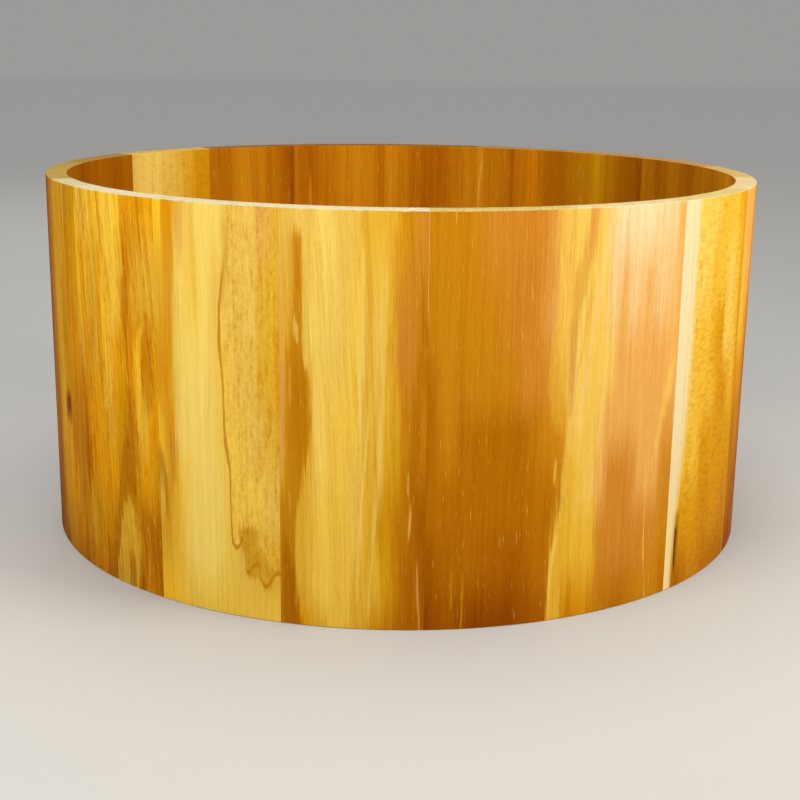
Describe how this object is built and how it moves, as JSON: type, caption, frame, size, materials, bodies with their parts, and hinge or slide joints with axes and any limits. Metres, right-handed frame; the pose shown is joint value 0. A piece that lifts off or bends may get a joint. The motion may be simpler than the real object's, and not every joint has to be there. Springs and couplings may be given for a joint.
{
  "type": "bass drum shell",
  "caption": "Round open-ended bass drum shell, coopered from solid timber staves glued edge to edge and turned inside and out.",
  "frame": {"origin": "centre of the lower end's plane, on the shell's axis", "axes": "+Z along the shell's axis, up from the end it stands on; -Y towards the side the picture shows; +X to that view's right"},
  "size_m": [0.5588, 0.5586, 0.2794],
  "materials": {
    "brown_heartwood": "even mid-brown heartwood with tiny pale flecks, satin oil",
    "rosy_heartwood": "pinkish-tan streaked heartwood, satin oil",
    "curly_gold": "golden ochre wood with curl figure and flecks, satin oil",
    "orange_heartwood": "orange-brown straight-grained wood, satin oil",
    "red_heartwood": "dark red-brown heartwood, satin oil",
    "olive_heartwood": "olive-brown banded heartwood, satin oil",
    "golden_sapwood": "pale yellow sapwood with fine vertical grain, satin oil",
    "spalted_sapwood": "pale sapwood crossed by dark spalting lines, satin oil"
  },
  "bodies": {
    "root": {"stave_01": "brown_heartwood", "stave_02": "rosy_heartwood", "stave_03": "curly_gold", "stave_04": "orange_heartwood", "stave_05": "brown_heartwood", "stave_06": "red_heartwood", "stave_07": "olive_heartwood", "stave_08": "orange_heartwood", "stave_09": "red_heartwood", "stave_10": "orange_heartwood", "stave_11": "orange_heartwood", "stave_12": "golden_sapwood", "stave_13": "red_heartwood", "stave_14": "olive_heartwood", "stave_15": "orange_heartwood", "stave_16": "curly_gold", "stave_17": "curly_gold", "stave_18": "spalted_sapwood", "stave_19": "golden_sapwood"}
  },
  "joints": []
}
